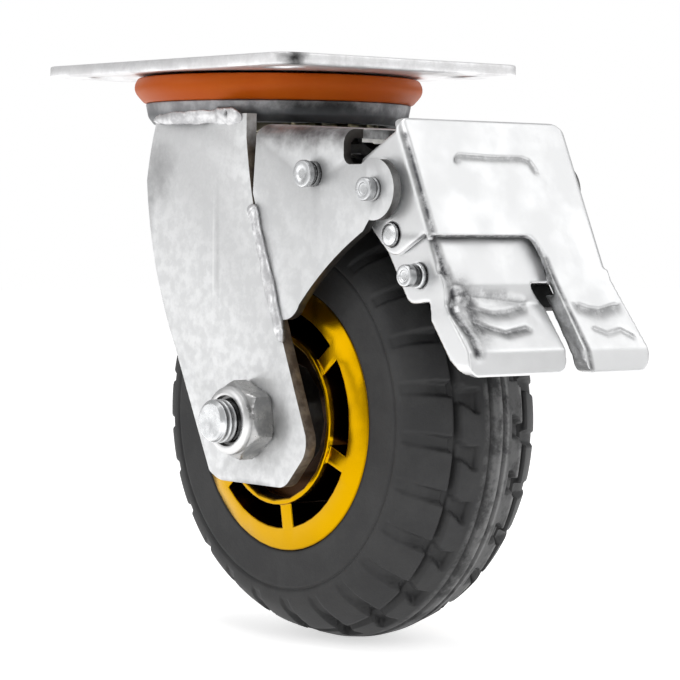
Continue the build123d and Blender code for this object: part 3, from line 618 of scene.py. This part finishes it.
# edge: width of the broken edge; corners: (x, z, radius); ear: x, z, radius and the x of its tip
# widen: half width of the brake arm's wing in the solid, and the one that closes the view past its edge
legLook = dict(edge=0.35, steps=2, cutEdge="cutEdge",
               corners=[(46.0, -116.8, 2.4), (55.3, -106.6, 3.0), (17.0, -116.8, 2.0)])
softLooks = {
    "top_plate": dict(edge=0.9, steps=3),
    "kingpin": dict(edge=0.3, steps=2),
    "lock_disc": dict(edge=0.3, steps=1),
    "kingpin_nut": dict(edge=0.4, steps=2),
    "fork_crown": dict(edge=0.9, steps=3, finish="crownZincShaded"),
    "wheel_rim": dict(edge=0.45, steps=2),
    "fork_leg_left": legLook,
    "fork_leg_right": legLook,
    "brake_bracket": dict(edge=0.35, steps=2, finish="bracketZinc", cutEdge="bracketEdge", webLow=-28.5,
                          ear=(81.5, -36.2, 8.1, 80)),
    "brake_arm": dict(edge=0.3, steps=1, finish="armInShade", widen=(18.0, 21.4)),
}
for nodeName, look in softLooks.items():
    softCopy(nodeName, **look)
print("soft copies done")

# marks pressed into the pedals, as (y, z) lines: deepest on the line, returning above and below it;
# shadingAndStain is how much darker the zinc is painted there, as painted shade in the folds, presses and
# under the notch's edge, with some stain; corners: (y, z, radius, which way it points along y and z)
pedalLooks = {
    "lock_pedal": dict(
        voxel=0.42, rounds=5,
        corners=[(24, -23.7, 6, 1, 1), (-26.4, -21.3, 3.6, -1, 1), (28.7, -78.3, 5.5, 1, -1),
                 (14.0, -80.4, 3.4, -1, -1)],
        marks=[
            dict(line=[(-13.9, -27.9), (-12.4, -26.9), (-1.2, -27.3), (9.8, -27.2), (12.6, -28.0),
                       (13.9, -30.3)], depth=0.5, above=0.35, below=1.3, shadingAndStain=0.55),
            dict(line=[(-14.3, -28.3), (-12.9, -27.5)], depth=0.2, above=0.5, below=0.7, shadingAndStain=0.8),
            dict(line=[(14.7, -66.0), (17.9, -67.0), (21.5, -67.4), (27.9, -66.2)],
                 depth=0.6, above=0.55, below=2.2, shadingAndStain=0.65),
            dict(line=[(17.1, -71.9), (21.1, -73.3), (26.4, -72.4), (30.2, -74.2)],
                 depth=0.35, above=0.45, below=1.0, shadingAndStain=0.3),
            dict(line=[(-28.9, -22.0), (-28.9, -46.8)], depth=0.12, above=0.7, below=0.7, shadingAndStain=1),
            dict(line=[(-29, -48.4), (2.4, -48.4), (5.6, -50.2), (7.2, -54.0), (7.8, -59.0)],
                 depth=0, above=1.0, below=1.0, shadingAndStain=1, edge=True),
            dict(line=[(8.0, -61.0), (10.2, -76.0), (10.6, -83.0)],
                 depth=0, above=1.0, below=1.0, shadingAndStain=0.5, edge=True),
            dict(line=[(8.3, -54.0), (9.2, -60.0), (11.6, -76.0), (12.2, -82.5)],
                 depth=0.3, above=0.6, below=0.8, shadingAndStain=0.9),
        ]),
    "release_pedal": dict(
        voxel=0.42, rounds=5,
        corners=[(2.4, -79.2, 4.6, 1, -1), (-24.3, -80.4, 3.4, -1, -1)],
        marks=[
            dict(line=[(-26.3, -48.0), (-26.0, -57.3)], depth=0.35, above=1.1, below=1.1, shadingAndStain=1),
            dict(line=[(-26.0, -57.3), (-24.8, -61.1), (-23.8, -63.1)],
                 depth=0.5, above=1.9, below=1.9, shadingAndStain=1),
            dict(line=[(-23.8, -63.1), (-25.2, -65.5), (-25.8, -67.5), (-24.5, -71.3), (-23.6, -73.9),
                       (-24.0, -77.5)], depth=0.95, above=1.7, below=1.7, shadingAndStain=1),
            dict(line=[(-22.0, -61.5), (-19.5, -65.5), (-20.5, -72.0)],
                 depth=0, above=3.2, below=3.2, shadingAndStain=0.85),
            dict(line=[(-19.0, -62.6), (-7.0, -63.4)], depth=0, above=1.6, below=2.0, shadingAndStain=0.6),
            dict(line=[(-18.0, -63.6), (-9.0, -64.3), (-0.6, -65.3)],
                 depth=0.5, above=1.6, below=0.9, shadingAndStain=0.45),
            dict(line=[(-19.5, -66.2), (-13.0, -67.9), (-7.8, -67.8), (-1.5, -66.6)],
                 depth=0.5, above=0.7, below=1.3, shadingAndStain=0.7),
            dict(line=[(-20.0, -70.0), (-16.0, -71.6), (-11.3, -72.8), (-3.3, -71.7)],
                 depth=0.55, above=0.6, below=1.2, shadingAndStain=0.8),
        ]),
}


def markField(y, z, mark):
    # 1 on the line, falling off as a bell with its own width above and below
    best = np.full(len(y), 1e9)
    below = np.zeros(len(y))
    for (y0, z0), (y1, z1) in zip(mark["line"], mark["line"][1:]):
        run = np.array([y1 - y0, z1 - z0])
        length = np.linalg.norm(run)
        t = np.clip(((y - y0) * run[0] + (z - z0) * run[1]) / length ** 2, 0, 1)
        offY, offZ = y - y0 - t * run[0], z - z0 - t * run[1]
        away = np.hypot(offY, offZ)
        nearer = away < best
        best = np.where(nearer, away, best)
        below = np.where(nearer, offY * run[1] - offZ * run[0] > 0, below)
    width = np.where(below > 0, mark["below"], mark["above"])
    return np.exp(-(best / width) ** 2)


def sculptedCopy(nodeName, look):
    # the CAD form as an even fine mesh, smoothed, with its marks pressed in along the pedal face's normal
    form = mergedMesh(nodeName)
    rough = bpy.data.meshes.new(nodeName + "Rough")
    form.to_mesh(rough)
    form.free()
    helper = addObject(rough.name, rough)
    remesh = helper.modifiers.new("grain", "REMESH")
    remesh.mode = "VOXEL"
    remesh.voxel_size = look["voxel"] * mm
    ease = helper.modifiers.new("ease", "SMOOTH")
    ease.factor, ease.iterations = 0.5, look["rounds"]
    mesh = bpy.data.meshes.new_from_object(helper.evaluated_get(bpy.context.evaluated_depsgraph_get()))
    mesh.name = nodeName + "Pressed"
    bpy.data.objects.remove(helper)
    count = len(mesh.vertices)
    spots, normals = np.empty(count * 3), np.empty(count * 3)
    mesh.vertices.foreach_get("co", spots)
    mesh.vertices.foreach_get("normal", normals)
    spots, normals = spots.reshape(-1, 3), normals.reshape(-1, 3)
    outward = np.array([np.cos(pedalTilt), 0, np.sin(pedalTilt)])
    facing = normals @ outward
    front = softStep(facing, 0.25, 0.6)
    shadingAndStain = np.zeros(count)
    for y, z, radius, sideY, sideZ in look["corners"]:
        # what lies past the round corner is drawn in to it
        offY = np.clip((spots[:, 1] / mm - y) * sideY, 0, None)
        offZ = np.clip((spots[:, 2] / mm - z) * sideZ, 0, None)
        scale = np.where(offZ > 0, radius / np.maximum(np.hypot(offY, offZ), radius), 1) - 1
        spots = spots + np.stack([0 * offY, sideY * offY * scale * mm, sideZ * offZ * scale * mm], axis=1)
    for mark in look["marks"]:
        field = markField(spots[:, 1] / mm, spots[:, 2] / mm, mark)
        spots = spots - outward * (field * front * mark["depth"] * mm)[:, None]
        # an edge mark paints shade on the sheet's own thickness, the others on what faces forward
        shown = 1 - softStep(facing, 0.5, 0.85) if mark.get("edge") else softStep(facing, -0.15, 0.2)
        shadingAndStain = np.maximum(shadingAndStain, field * shown * mark["shadingAndStain"])
    mesh.vertices.foreach_set("co", spots.ravel())
    mesh.update()
    mesh.shade_smooth()
    mesh.materials.clear()
    mesh.materials.append(materials["pedalZinc"])
    piece = addObject(mesh.name, mesh)
    paint(piece, "shadingAndGrime", shadingAndStain)
    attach(piece, bodyOf[nodeName])
    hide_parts(nodeName)
    print(nodeName, "pressed:", len(mesh.polygons) * 2, "triangles")


for nodeName, look in pedalLooks.items():
    sculptedCopy(nodeName, look)


def roundCorners(points, steps):
    # outline of (along, radius, cut) corners; each corner becomes a curve that starts a cut before it
    points = [np.array(p, float) for p in points]
    line = []
    for i, (here, cut) in enumerate((p[:2], p[2]) for p in points):
        if cut == 0 or i in (0, len(points) - 1):
            line.append(here)
            continue
        before, after = points[i - 1][:2] - here, points[i + 1][:2] - here
        before, after = before / np.linalg.norm(before) * cut, after / np.linalg.norm(after) * cut
        t = np.linspace(0, 1, steps + 1)[:, None]
        line.extend(here + before * (1 - t) ** 2 + after * t ** 2)
    return np.array(line)


def turnedSpots(outline, centre, columns):
    # outline of (along, radius) turned about an axis along Y
    return aroundY(centre, outline[:, 1:], outline[:, :1], fullTurn(columns))


def outwardQuads(spots, closedRows):
    # quads whose normals point away from the solid, judged by the signed volume
    rows, columns = spots.shape[:2]
    quads = gridFaces(rows, columns, closedRows, True)
    a, b, c, d = (spots.reshape(-1, 3)[quads[:, k]] for k in range(4))
    volume = np.einsum("ij,ij->i", a, np.cross(b, c) + np.cross(c, d)).sum()
    return quads if volume > 0 else quads[:, ::-1]


# corners of the ring's section: (height, radius, how far before the corner its curve starts)
sealLook = dict(outline=[(-4.02, 36.45, 0), (-4.02, 40.6, 0.9), (-7.3, 42.3, 2.6), (-11.25, 38.8, 0.8),
                         (-11.25, 36.45, 0)], steps=6, columns=144)
spots = turnedSpots(roundCorners(sealLook["outline"], sealLook["steps"]), (0, 0), sealLook["columns"])
spots = spots[..., [0, 2, 1]]  # its axis stands upright
addPiece("sealRing", spots, outwardQuads(spots, True), "sealPlastic", "fork", ["dust_seal"])

# each pin: (x, z), cheek it stands on, shank radius, how far its head stands out, thickness and radius of
# collar and head, radius of the neck between them, and how far its end stands out on the far side
pinLooks = {
    "arm_pivot_pin": dict(spot=(57.4, -32.1), cheek=legFace, shank=3.0, stand=4.3, collar=(1.3, 3.4),
                          neck=2.75, head=(1.7, 3.66), far=2.15),
    "pedal_pivot_pin": dict(spot=(81.5, -36.2), cheek=legFace, shank=3.0, stand=3.6, collar=(0.9, 3.1),
                            neck=2.7, head=(2.2, 3.1), far=1.8),
    "release_pivot_pin": dict(spot=(84.4, -47.9), cheek=30.0, shank=3.0, stand=1.2, collar=(0, 3.0),
                              neck=3.0, head=(1.2, 3.2), far=0.6, domed=True),
    "push_pin": dict(spot=(92.8, -58.4), cheek=27.7, shank=2.8, stand=5.4, collar=(1.6, 3.3), neck=2.3,
                     head=(2.2, 2.9), far=2.7),
}


def pinOutline(look):
    # from the middle of the near head round its edge, down neck and collar, and through to the far head
    y, tip = -look["cheek"], -look["cheek"] - look["stand"]
    headT, headR = look["head"]
    collarT, collarR = look["collar"]
    if look.get("domed"):
        points = [(tip, 0, 0), (tip, headR * 0.7, 1.0), (tip + 0.5, headR, 0.3)]
    else:
        points = [(tip + 0.25, 0, 0), (tip + 0.25, headR * 0.42, 0.3), (tip, headR * 0.62, 0.4),
                  (tip, headR, 0.45)]
    if collarT:
        points += [(tip + headT, headR, 0.3), (tip + headT + 0.15, look["neck"], 0.15),
                   (y - collarT, look["neck"], 0.15), (y - collarT, collarR, 0.3), (y, collarR, 0)]
    else:
        points += [(y, headR, 0)]
    far = look["cheek"] + look["far"]
    points += [(y, look["shank"], 0), (far, look["shank"], 0.6), (far, 0, 0)]
    return roundCorners(points, 4)


def pinShading(outline, look):
    # painted shade at the foot and in the groove under the head, and a painted dark ring round the head's rim
    fromCheek, radius = outline[:, 0] + look["cheek"], outline[:, 1]
    headT, headR = look["head"]
    foot = (fromCheek > -0.4) * (fromCheek < 0.5)
    groove = (radius < headR - 0.2) * (fromCheek > headT - look["stand"])
    rim = np.abs(radius - headR) < 0.2
    return np.clip(0.95 * foot + 0.85 * groove + 0.45 * rim, 0, 0.95)


pinColumns = 48
for nodeName, look in pinLooks.items():
    outline = pinOutline(look)
    spots = turnedSpots(outline, look["spot"], pinColumns)
    piece = addPiece(nodeName + "Turned", spots, outwardQuads(spots, False), "fastenerZinc", bodyOf[nodeName],
                     [nodeName])
    paint(piece, "shadingAndGrime", np.repeat(pinShading(outline, look), pinColumns))
print("seal and pins done")


def hexSpots(look, columns=144):
    # along the axle: at each angle the hexagon's own radius, held within the profile's radius
    turn = fullTurn(columns)
    toFlat = (turn + np.pi / 6 - look["turn"]) % (np.pi / 3) - np.pi / 6
    along, limit = np.array(look["profile"])[:, :2].T[:, :, None]
    radius = np.minimum(look["flats"] / 2 / np.cos(toFlat), limit)
    return aroundY(axle, radius, along, turn)


# profile: (y, radius, how much lighter the zinc is painted there), the hexagon first and then its round
# collar
nutLook = dict(flats=19.0, turn=np.radians(8), profile=[
    (-33.9, 6.05, 0), (-33.9, 9.4, 0), (-34.4, 10.4, 0), (-34.9, 12, 0), (-37, 12, 0), (-39.2, 10.95, 0),
    (-39.7, 10.6, 0.1), (-40.2, 10.2, 0.25), (-40.7, 9.75, 0.3), (-41.1, 9.35, 0.2), (-41.7, 9.3, 0.5),
    (-42.3, 9.15, 0.85), (-42.8, 8.7, 1), (-43.1, 8.1, 1), (-43.2, 7.4, 1), (-43.1, 6.95, 0.7),
    (-42.7, 6.8, 0), (-41.6, 6.75, 0), (-41.5, 6.05, 0)])
spots = hexSpots(nutLook)
piece = addPiece("axleNutHex", spots, outwardQuads(spots, True), "nutZinc", "fork", ["axle_nut"])
paint(piece, "shadingAndGrime", np.repeat([bright for *_, bright in nutLook["profile"]], spots.shape[1]))
piece.data.set_sharp_from_angle(angle=sharpAngle)

boltLook = dict(tip=-48.5, thread=-36.0, pitch=1.75, depth=0.62, shank=5.95, end=4.9, chamfer=0.9, bore=5.0)


def boltSpots(look, columns=72):
    # shank with a helical thread: the radius falls by the depth where angle and place along the axis are
    # out of step; before it the flat tip, and after it the plain shank to the far leg
    turn = fullTurn(columns)
    along = np.arange(look["tip"], look["thread"], look["pitch"] / 12)[:, None]
    phase = (along / look["pitch"] + turn / (2 * np.pi)) % 1
    groove = 1 - np.abs(2 * phase - 1)
    radius = look["shank"] - look["depth"] * softStep(groove, 0.15, 0.85)
    radius = np.minimum(radius, look["end"] + (along - look["tip"]) * look["chamfer"])
    tip = np.array([[look["tip"] + 0.1, 0.01], [look["tip"], 3.6], [look["tip"], look["end"] - 0.25]])
    plain = np.array([[look["thread"], look["shank"]], [legFace, look["shank"]], [legFace, look["bore"]]])
    along = np.concatenate([tip[:, :1], along, plain[:, :1]])
    radius = np.concatenate([tip[:, 1:] + 0 * turn, radius, plain[:, 1:] + 0 * turn])
    return aroundY(axle, radius, along, turn)


spots = boltSpots(boltLook)
piece = addPiece("axleBoltThread", spots, outwardQuads(spots, False), "fastenerZinc", "fork", ["axle_bolt"])
# painted shade in the thread's roots, darkest inside the nut's collar
fromAxle = np.hypot(spots[..., 0] - axle[0], spots[..., 2] - axle[1])
roots = softStep(5.85 - fromAxle, 0, 0.4) * (spots[..., 1] > -47.6) * 0.85
paint(piece, "shadingAndGrime", np.maximum(roots, softStep(spots[..., 1], -44.6, -43.4)))
headLook = dict(flats=19.0, turn=np.radians(8), profile=[
    (33.9, 0.02), (33.9, 9.4), (34.3, 12), (40.0, 12), (40.6, 10.6), (41.2, 9.6), (41.4, 9.2), (41.4, 0.02)])
spots = hexSpots(headLook)
piece = addPiece("axleBoltHead", spots, outwardQuads(spots, True), "nutZinc", "fork", ())
piece.data.set_sharp_from_angle(angle=sharpAngle)
print("axle bolt and nut done")


def lumps(u, v, seed):
    # smooth unevenness of a hand-laid bead, from a few waves with irregular lengths
    rng = np.random.default_rng(seed)
    total = 0
    for k in range(1, 7):
        wave = u * (3.1 * k + rng.uniform(0, 2)) + v * rng.uniform(1, 4) + rng.uniform(0, 6.3)
        total = total + np.sin(wave) / k
    return total / 2


def beadSpots(middle, outward, width, height, seed, columns=28):
    # a flat oval carried along the joint, drawn in at both ends, with lumps
    u = np.linspace(0, 1, len(middle))[:, None]
    around = fullTurn(columns)[None, :]
    ends = np.sqrt(np.clip(1 - np.abs(2 * u - 1) ** 10, 0, 1))
    rough = 1 + 0.13 * lumps(u * 7, around, seed) + 0.03 * lumps(u * 40, around * 2, seed + 5)
    along = np.gradient(middle, axis=0)
    along /= np.linalg.norm(along, axis=1, keepdims=True)
    across = np.cross(along, outward)
    wide, high = np.cos(around) * width[:, None] * ends * rough, np.sin(around) * height * ends * rough
    return middle[:, None] + across[:, None] * wide[..., None] + outward[:, None] * high[..., None]


# along each bead: place on the face of the leg, and half width; lip: radius of the crown where the bead
# lies on it, lean: how far it leans down there, pore: x and z of a gas hole, far: how long the far bead is
beadLooks = {
    "bracket_weld": dict(x=[30.6, 32.4, 34.6, 36.6, 39.6, 43.4, 45.0],
                         z=[-40.4, -43.0, -48.5, -54.5, -63.0, -73.0, -77.5],
                         width=[2.2, 2.2, 1.4, 1.9, 2.1, 1.8, 1.1], height=1.5, lip=0, lean=0.0, far=1),
    "crown_weld": dict(x=[-13.6, -8.0, 4.0, 14.0, 20.0, 26.4],
                       z=[-16.4, -16.2, -16.0, -15.9, -15.9, -16.3],
                       width=[0.8, 1.5, 2.0, 2.2, 2.6, 2.4], height=1.05, lip=36.9, lean=0.3, far=0.7,
                       pore=(20.5, -15.2)),
}


def beadPath(look, side, count=110):
    # the measured places joined up, on the leg's face or on the crown's lip where that stands further out
    t = np.linspace(0, 1, count)
    knots = np.linspace(0, 1, len(look["x"]))
    x, z, width = (np.interp(t, knots, look[name]) for name in ("x", "z", "width"))
    out = np.maximum(np.sqrt(np.clip(look["lip"] ** 2 - x ** 2, 0, None)), legFace + 0.2)
    lean = np.array([0, side * np.cos(look["lean"]), -np.sin(look["lean"])])
    if side > 0:
        x = x * look["far"]
    return np.stack([x, side * out, z], axis=-1), np.tile(lean, (count, 1)), width


def addBead(kind, side, word, look):
    middle, outward, width = beadPath(look, side)
    spots = beadSpots(middle, outward, width, look["height"], len(kind) + side)
    # a painted shadow at the foot of the bead, where it meets the sheet
    foot = 1 - softStep(np.sin(fullTurn(spots.shape[1])), 0.15, 0.45)
    shadingAndStain = 0.85 * foot + np.zeros(spots.shape[:2])
    if "pore" in look:
        # a small gas hole, pressed in and painted dark as the shade inside it, in a bead that is painted a
        # little darker all over
        away = np.hypot(spots[..., 0] - look["pore"][0], spots[..., 2] - look["pore"][1])
        pit = (1 - softStep(away, 0.35, 0.85)) * (side * spots[..., 1] > legFace)
        spots = spots - outward[:, None] * (pit * 0.9)[..., None]
        shadingAndStain = np.maximum(shadingAndStain, np.maximum(1 - softStep(away, 0.5, 0.95), 0.16))
    pieceName = kind.split("_")[0] + "WeldBead" + word.capitalize()
    piece = addPiece(pieceName, spots, outwardQuads(spots, False), "weldZinc", "fork", [kind + "_" + word])
    paint(piece, "shadingAndGrime", shadingAndStain)


for kind, look in beadLooks.items():
    for side, word in ((-1, "left"), (1, "right")):
        addBead(kind, side, word, look)
print("weld beads done")


# metres, degrees, and the lens in millimetres on a 36 mm sensor
cameraFacts = dict(place=(0.61085, -0.49002, -0.04424), yaw=49.92, pitch=2.55, roll=0.516, lens=142.8)


def addCamera(facts):
    yaw, pitch, roll = (np.radians(facts[name]) for name in ("yaw", "pitch", "roll"))
    ahead = Vector((-np.sin(yaw) * np.cos(pitch), np.cos(yaw) * np.cos(pitch), -np.sin(pitch)))
    side = Vector((np.cos(yaw), np.sin(yaw), 0))
    above = side.cross(ahead)
    right = side * np.cos(roll) + above * np.sin(roll)
    top = above * np.cos(roll) - side * np.sin(roll)
    data = bpy.data.cameras.new("camera")
    data.lens = facts["lens"]
    data.sensor_width = 36
    data.clip_start = 0.01
    camera = addObject("camera", data)
    turn = Matrix((right, top, -ahead)).transposed().to_4x4()
    camera.matrix_world = Matrix.Translation(facts["place"]) @ turn
    bpy.context.scene.camera = camera


def addFloor(z, look):
    # a flat pale floor that the camera sees as plain paper, with the object's shadow left in
    reach = look["reach"]
    mesh = bpy.data.meshes.new("floor")
    mesh.from_pydata([(-reach, -reach, z), (reach, -reach, z), (reach, reach, z), (-reach, reach, z)], [],
                     [(0, 1, 2, 3)])
    floor = addObject("floor", mesh)
    material, tree, shader = newMaterial("floorPaper")
    shader.inputs["Base Color"].default_value = (*look["color"], 1)
    shader.inputs["Roughness"].default_value = look["rough"]
    shader.inputs["Specular IOR Level"].default_value = look["shine"]
    path = tree.nodes.new("ShaderNodeLightPath")
    seen = addMath(tree, "MAXIMUM", path.outputs["Is Camera Ray"], path.outputs["Is Glossy Ray"])
    seen = addMath(tree, "MAXIMUM", seen, path.outputs["Is Transmission Ray"])
    shader.inputs["Emission Color"].default_value = (1, 1, 1, 1)
    tree.links.new(addMath(tree, "MULTIPLY", seen, look["glow"]), shader.inputs["Emission Strength"])
    mesh.materials.append(material)


def addLamp(name, place, size, power):
    # a square lamp that faces the middle of the castor
    data = bpy.data.lights.new(name, "AREA")
    data.shape = "RECTANGLE"
    data.size, data.size_y = size, size
    data.energy = power
    lamp = addObject(name, data)
    lamp.location = place
    lamp.rotation_euler = (Vector(lampTarget) - Vector(place)).to_track_quat("-Z", "Y").to_euler()


def addWorld(strength):
    # white to the camera, and weaker light for everything else
    world = bpy.data.worlds.new("studio")
    world.use_nodes = True
    tree = world.node_tree
    ground = tree.nodes["Background"]
    ground.inputs["Color"].default_value = (1, 1, 1, 1)
    path = tree.nodes.new("ShaderNodeLightPath")
    seen = addMath(tree, "MULTIPLY", path.outputs["Is Camera Ray"], 1.0 - strength)
    tree.links.new(addMath(tree, "ADD", seen, strength), ground.inputs["Strength"])
    bpy.context.scene.world = world


floorLook = dict(color=(0.92, 0.92, 0.92), rough=0.9, shine=0.1, glow=0.62, reach=3.0)
lampTarget = (0.03, 0, -0.08)
lampLooks = {
    "leftLamp": dict(place=(-0.5, -1.1, 0.5), size=0.9, power=3.2),
    "pedalLamp": dict(place=(0.75, 0.85, 0.62), size=0.9, power=2.5),
    "frontLamp": dict(place=(1.1, -0.35, 0.6), size=0.8, power=3.2),
    "topLamp": dict(place=(0.1, -0.1, 1.1), size=0.8, power=6),
}
worldStrength = 0.45
addCamera(cameraFacts)
addFloor(cadBox[0][2], floorLook)
for lampName, look in lampLooks.items():
    addLamp(lampName, **look)
addWorld(worldStrength)
bpy.context.scene.view_settings.view_transform = "Standard"
print("camera, floor and lamps in place")
